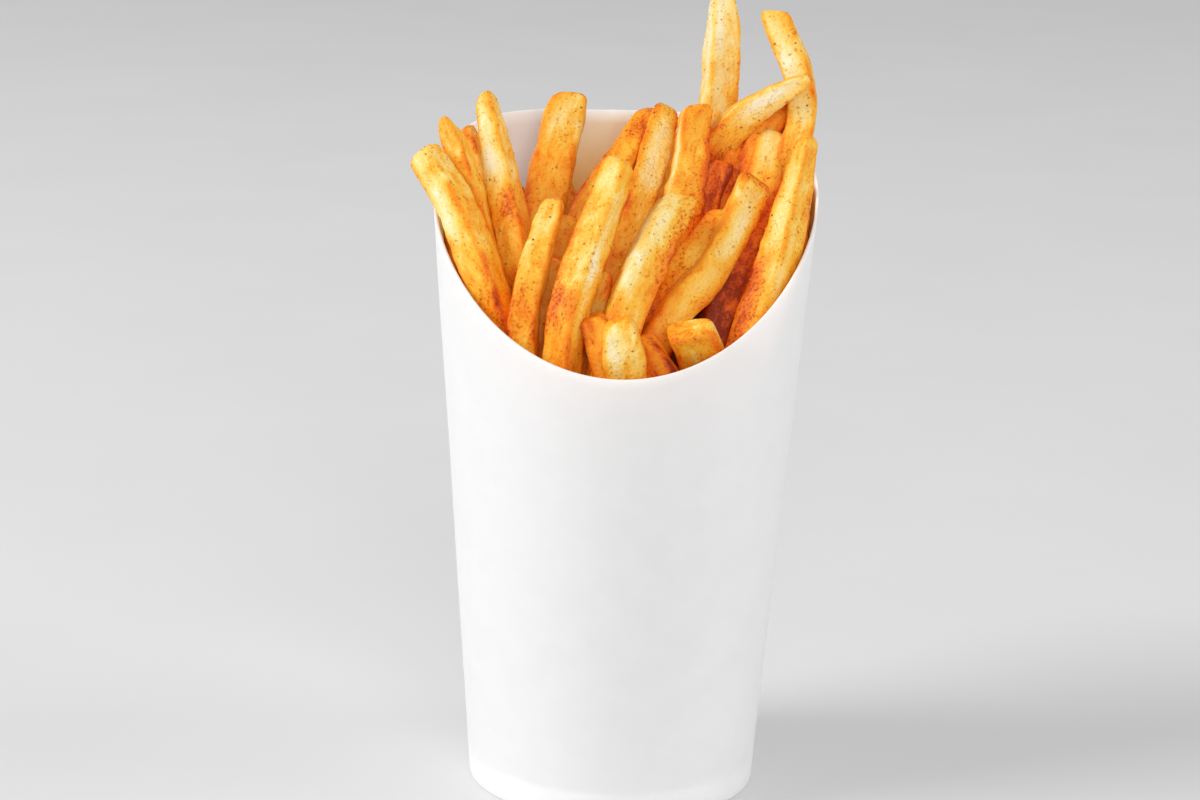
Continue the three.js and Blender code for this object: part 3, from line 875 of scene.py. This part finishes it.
chance = np.random.default_rng(11)
grain_points = []
grain_kinds = []
for number, (rings, values) in enumerate(shells):
    body = len(rings) - len(CAP_SHARES) - 1
    tries = GRAIN_TRIES * body // GRAIN_RINGS
    up = chance.integers(3, body, tries)
    round_it = chance.integers(0, SIDES, tries)
    corner = rings[up, round_it]
    rise = rings[up + 1, round_it] - corner
    turn = rings[up, (round_it + 1) % SIDES] - corner
    normal = np.cross(turn, rise)
    normal /= np.linalg.norm(normal, axis=1, keepdims=True)
    place = corner + rise * chance.random((tries, 1)) + turn * chance.random((tries, 1))
    at_point = up * SIDES + round_it
    own = values["own_mm"][at_point]
    clump = np.array([noise.noise(Vector(p) / GRAIN_CLUMP_MM) for p in own])
    likely = 0.2 + 1.2 * clump + 0.35 * values["edge"][at_point] + 0.6 * values["spice"][at_point]
    kept = chance.random(tries) < likely
    along = rise[kept] / np.linalg.norm(rise[kept], axis=1, keepdims=True)
    normal = normal[kept]
    across = np.cross(normal, along)
    spin = chance.uniform(0, math.pi, (len(along), 1))
    along, across = along * np.cos(spin) + across * np.sin(spin), across * np.cos(spin) - along * np.sin(spin)
    low, high = GRAIN_HALF_LENGTH
    half_length = low + (high - low) * chance.random((len(along), 1)) ** 2
    shape = ball * chance.uniform(0.75, 1.15, (len(along), BALL_POINTS, 1))
    half_width = half_length * chance.uniform(0.5, 0.95, half_length.shape)
    half_height = half_length * chance.uniform(0.2, 0.45, half_length.shape)
    half = np.concatenate([half_length, half_width, half_height], axis=1)
    shape = shape * half[:, None, :]
    axes = np.stack([along, across, normal], axis=1)
    grains = (place[kept] + normal * half[:, 2:] * 0.3)[:, None, :] + shape @ axes
    grain_points.append(grains.reshape(-1, 3))
    grain_kinds.append(chance.random(len(along)).repeat(BALL_POINTS))
grain_points = np.concatenate(grain_points)
grain_count = len(grain_points) // BALL_POINTS
grain_faces = np.array(ball_faces) + BALL_POINTS * np.arange(grain_count)[:, None, None]
seasoning = make_piece(
    "seasoning",
    grain_points * MM + (cup_x, cup_y, 0),
    grain_faces.reshape(-1, 3).tolist(),
    ground_seasoning(),
    {"kind": np.concatenate(grain_kinds)},
)
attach(seasoning, "root")

# ---------------------------------------------------------------------------------------------------------
# The fries packed deep in the cup: one body that closes the gaps between the ones that show, coloured fully
# browned and spiced as painted shade in the deep gaps.
DEEP_FRONT = 80 * MM
DEEP_BACK = 106 * MM
DEEP_GAP = 0.9 * MM
DEEP_ROWS = 24
DEEP_COLUMNS = 96
DEEP_LUMP = 2.2 * MM
DEEP_LUMP_LENGTH = 7 * MM

deep_angle = np.linspace(0, 2 * math.pi, DEEP_COLUMNS, endpoint=False)
deep_bottom = base_high.z + 0.4 * MM


def deep_ring(share, up):
    """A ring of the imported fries: share of the way out to the wall, and of the way up."""
    towards_back = -np.cos(deep_angle) * share
    top = (DEEP_FRONT + DEEP_BACK) / 2 + (DEEP_BACK - DEEP_FRONT) / 2 * towards_back
    z = deep_bottom + (top - deep_bottom) * up
    radius = (wall_radius(z) - BOARD - DEEP_GAP) * share
    x, y = radius * np.sin(deep_angle), -radius * np.cos(deep_angle)
    lump = np.array([noise.noise(Vector(p) / DEEP_LUMP_LENGTH) for p in zip(x, y, z)])
    z = z + DEEP_LUMP * lump * (up == 1)
    return np.stack([cup_x + x, cup_y + y, z], axis=1)


rings = [deep_ring(share, 0) for share in (0.1, 0.5, 0.96)]
rings += [deep_ring(1, up) for up in np.linspace(0.01, 0.985, 12)]
rings += [deep_ring(share, 1) for share in np.linspace(0.97, 0.04, DEEP_ROWS)]
points, faces = loft(
    rings,
    first_point=(cup_x, cup_y, deep_bottom),
    last_point=tuple(rings[-1].mean(axis=0)),
)
# Full browning, edges and spice all over: painted shade for the gaps between the fries.
packed_shade_values = {
    "own_mm": points / MM,
    "brown": np.ones(len(points)),
    "edge": np.ones(len(points)),
    "end": np.zeros(len(points)),
    "pale": np.zeros(len(points)),
    "spice": np.ones(len(points)),
}
packed_fries = make_piece("packed_fries", points, faces, crust, packed_shade_values)
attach(packed_fries, "root")

# ---------------------------------------------------------------------------------------------------------
# Studio: a plain pale floor, a large soft light from the left, weaker ones from the front and right,
# and even light from all round.
FLOOR_GREY = "E1E1E1"
FLOOR_RADIUS = 8
SKY_STRENGTH = 0.53
LIGHT_DISTANCE = 2.4
# Soft round lights: width, power, and the angles round from the front to the right and up.
SOFT_LIGHTS = {
    "key_light": (1.35, 33.5, -75, 35),
    "front_fill": (1.35, 11.5, 12, 25),
    "side_fill": (1.35, 11.3, 85, 25),
}


def matt_floor():
    """Painted studio floor: an even, matt pale grey with a faint cloudiness."""
    material, output = new_material("matt_studio_floor")
    place = put(material, "TexCoord").outputs["Object"]
    clouds = put(material, "TexNoise", {"Vector": place, "Scale": 12.0, "Detail": 4.0})
    shade = put(
        material, "MapRange", {"Value": clouds.outputs["Fac"], "To Min": 0.97, "To Max": 1.03}
    ).outputs[0]
    colour = put(
        material, "VectorMath", {0: linear(FLOOR_GREY)[:3], "Scale": shade}, operation="SCALE"
    ).outputs[0]
    shader = put(material, "BsdfPrincipled", {"Base Color": colour, "Roughness": 0.9})
    material.node_tree.links.new(shader.outputs[0], output.inputs["Surface"])
    return material


floor_circle = np.stack([np.cos(deep_angle), np.sin(deep_angle), 0 * deep_angle], axis=1)
floor_rings = [radius * floor_circle for radius in np.geomspace(0.05, FLOOR_RADIUS, 16)]
points, faces = loft(floor_rings, first_point=(0, 0, 0))
faces = [face[::-1] for face in faces]
make_piece("studio_floor", points, faces, matt_floor())

world = bpy.data.worlds.new("soft_light")
world.use_nodes = True
world.node_tree.nodes["Background"].inputs["Color"].default_value = (1.0, 1.0, 1.0, 1.0)
world.node_tree.nodes["Background"].inputs["Strength"].default_value = SKY_STRENGTH
bpy.context.scene.world = world

for name, (size, power, round_to, up) in SOFT_LIGHTS.items():
    light = bpy.data.objects.new(name, bpy.data.lights.new(name, "AREA"))
    light.data.shape = "DISK"
    light.data.size = size
    light.data.energy = power
    round_to, up = math.radians(round_to), math.radians(up)
    towards = Vector((math.sin(round_to) * math.cos(up), -math.cos(round_to) * math.cos(up), math.sin(up)))
    light.location = CAMERA_AIM + LIGHT_DISTANCE * towards
    light.rotation_euler = (-towards).to_track_quat("-Z", "Y").to_euler()
    bpy.context.scene.collection.objects.link(light)

bpy.context.scene.view_settings.view_transform = "Standard"
